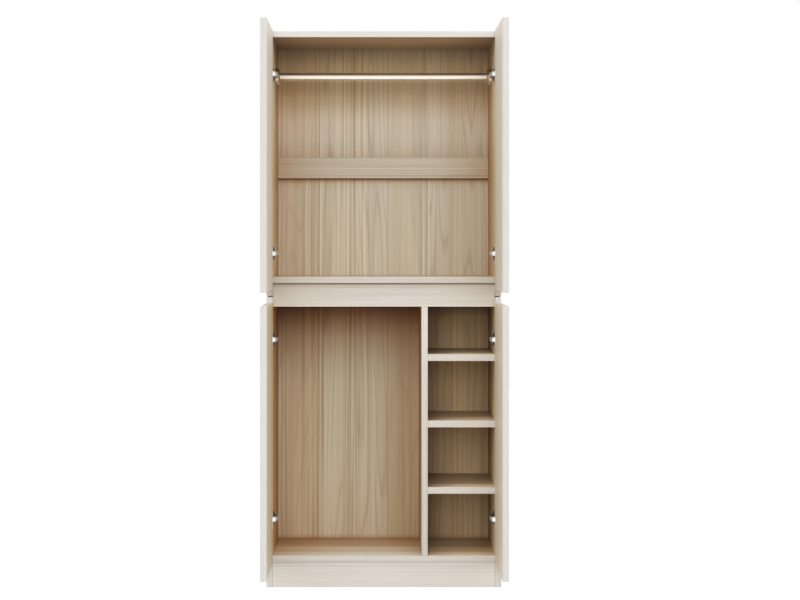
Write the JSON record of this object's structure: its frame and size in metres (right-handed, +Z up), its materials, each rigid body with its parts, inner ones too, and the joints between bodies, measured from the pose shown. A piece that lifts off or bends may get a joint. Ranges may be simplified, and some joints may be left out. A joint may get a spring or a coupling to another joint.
{
  "type": "wardrobe",
  "caption": "Tall pale oak wardrobe with upper and lower handleless swing doors on concealed cup hinges, a hanging rail above, and an open bay beside a column of shelves below.",
  "frame": {"origin": "on the floor, at the middle of the box round the wardrobe with its doors open at a right angle", "axes": "+Z up, -Y out of the front, +X to the right as seen from the front; the shelf column is on +X"},
  "size_m": [0.76, 0.7994, 1.8],
  "materials": {
    "oak_board": "pale oak foil on board, satin",
    "oak_back_sheet": "pale oak print on thin sheet, matt",
    "rail_chrome": "polished chrome plate",
    "hinge_nickel": "bright nickel plate"
  },
  "bodies": {
    "carcass": {"side_left_upper": "oak_board", "side_left_lower": "oak_board", "side_right_upper": "oak_board", "side_right_lower": "oak_board", "top_panel": "oak_board", "upper_floor": "oak_board", "mid_rail": "oak_board", "rear_rail": "oak_board", "bottom_panel": "oak_board", "plinth": "oak_board", "rear_plinth": "oak_board", "divider": "oak_board", "shelf_bottom": "oak_board", "shelf_middle": "oak_board", "shelf_top": "oak_board", "back_rail": "oak_board", "back_panel_upper": "oak_back_sheet", "back_panel_lower": "oak_back_sheet", "hanging_rail": "rail_chrome", "rail_socket_left": "rail_chrome", "rail_socket_right": "rail_chrome", "hinge_arm_upper_left_grip": "hinge_nickel", "hinge_arm_upper_left_end": "hinge_nickel", "hinge_arm_upper_right_grip": "hinge_nickel", "hinge_arm_upper_right_end": "hinge_nickel", "hinge_arm_lower_left_grip": "hinge_nickel", "hinge_arm_lower_left_end": "hinge_nickel", "hinge_arm_lower_right_grip": "hinge_nickel", "hinge_arm_lower_right_end": "hinge_nickel"},
    "door_upper_left": {"door_upper_left": "oak_board", "hinge_cup_upper_left_grip": "hinge_nickel", "hinge_cup_upper_left_end": "hinge_nickel"},
    "outer_links_upper_left": {"outer_link_upper_left_grip": "hinge_nickel", "outer_link_upper_left_end": "hinge_nickel"},
    "inner_links_upper_left": {"inner_link_upper_left_grip": "hinge_nickel", "inner_link_upper_left_end": "hinge_nickel"},
    "door_upper_right": {"door_upper_right": "oak_board", "hinge_cup_upper_right_grip": "hinge_nickel", "hinge_cup_upper_right_end": "hinge_nickel"},
    "outer_links_upper_right": {"outer_link_upper_right_grip": "hinge_nickel", "outer_link_upper_right_end": "hinge_nickel"},
    "inner_links_upper_right": {"inner_link_upper_right_grip": "hinge_nickel", "inner_link_upper_right_end": "hinge_nickel"},
    "door_lower_left": {"door_lower_left": "oak_board", "hinge_cup_lower_left_grip": "hinge_nickel", "hinge_cup_lower_left_end": "hinge_nickel"},
    "outer_links_lower_left": {"outer_link_lower_left_grip": "hinge_nickel", "outer_link_lower_left_end": "hinge_nickel"},
    "inner_links_lower_left": {"inner_link_lower_left_grip": "hinge_nickel", "inner_link_lower_left_end": "hinge_nickel"},
    "door_lower_right": {"door_lower_right": "oak_board", "hinge_cup_lower_right_grip": "hinge_nickel", "hinge_cup_lower_right_end": "hinge_nickel"},
    "outer_links_lower_right": {"outer_link_lower_right_grip": "hinge_nickel", "outer_link_lower_right_end": "hinge_nickel"},
    "inner_links_lower_right": {"inner_link_lower_right_grip": "hinge_nickel", "inner_link_lower_right_end": "hinge_nickel"}
  },
  "joints": [
    {"name": "upper_left_door_swing", "type": "hinge", "parent": "carcass", "child": "door_upper_left", "pos_m": [-0.371, -0.03025, 1.381], "axis": [0, 0, -1], "range_deg": [-90, 10]},
    {"name": "upper_left_outer_links", "type": "hinge", "parent": "carcass", "child": "outer_links_upper_left", "pos_m": [-0.35115, -0.01346, 1.381], "axis": [0, 0, -1], "range_deg": [-2.6, 22.2]},
    {"name": "upper_left_inner_links", "type": "hinge", "parent": "carcass", "child": "inner_links_upper_left", "pos_m": [-0.34681, -0.01614, 1.381], "axis": [0, 0, -1], "range_deg": [-4.2, 36.7]},
    {"name": "upper_right_door_swing", "type": "hinge", "parent": "carcass", "child": "door_upper_right", "pos_m": [0.371, -0.03025, 1.381], "axis": [0, 0, 1], "range_deg": [-90, 10]},
    {"name": "upper_right_outer_links", "type": "hinge", "parent": "carcass", "child": "outer_links_upper_right", "pos_m": [0.35115, -0.01346, 1.381], "axis": [0, 0, 1], "range_deg": [-2.6, 22.2]},
    {"name": "upper_right_inner_links", "type": "hinge", "parent": "carcass", "child": "inner_links_upper_right", "pos_m": [0.34681, -0.01614, 1.381], "axis": [0, 0, 1], "range_deg": [-4.2, 36.7]},
    {"name": "lower_left_door_swing", "type": "hinge", "parent": "carcass", "child": "door_lower_left", "pos_m": [-0.371, -0.03025, 0.501], "axis": [0, 0, -1], "range_deg": [-90, 10]},
    {"name": "lower_left_outer_links", "type": "hinge", "parent": "carcass", "child": "outer_links_lower_left", "pos_m": [-0.35115, -0.01346, 0.501], "axis": [0, 0, -1], "range_deg": [-2.6, 22.2]},
    {"name": "lower_left_inner_links", "type": "hinge", "parent": "carcass", "child": "inner_links_lower_left", "pos_m": [-0.34681, -0.01614, 0.501], "axis": [0, 0, -1], "range_deg": [-4.2, 36.7]},
    {"name": "lower_right_door_swing", "type": "hinge", "parent": "carcass", "child": "door_lower_right", "pos_m": [0.371, -0.03025, 0.501], "axis": [0, 0, 1], "range_deg": [-90, 10]},
    {"name": "lower_right_outer_links", "type": "hinge", "parent": "carcass", "child": "outer_links_lower_right", "pos_m": [0.35115, -0.01346, 0.501], "axis": [0, 0, 1], "range_deg": [-2.6, 22.2]},
    {"name": "lower_right_inner_links", "type": "hinge", "parent": "carcass", "child": "inner_links_lower_right", "pos_m": [0.34681, -0.01614, 0.501], "axis": [0, 0, 1], "range_deg": [-4.2, 36.7]}
  ],
  "couplings": [
    {"joint": "upper_left_outer_links", "follows": "upper_left_door_swing", "ratio": -0.24619},
    {"joint": "upper_left_inner_links", "follows": "upper_left_door_swing", "ratio": -0.40576},
    {"joint": "upper_right_outer_links", "follows": "upper_right_door_swing", "ratio": -0.24619},
    {"joint": "upper_right_inner_links", "follows": "upper_right_door_swing", "ratio": -0.40576},
    {"joint": "lower_left_outer_links", "follows": "lower_left_door_swing", "ratio": -0.24619},
    {"joint": "lower_left_inner_links", "follows": "lower_left_door_swing", "ratio": -0.40576},
    {"joint": "lower_right_outer_links", "follows": "lower_right_door_swing", "ratio": -0.24619},
    {"joint": "lower_right_inner_links", "follows": "lower_right_door_swing", "ratio": -0.40576}
  ]
}
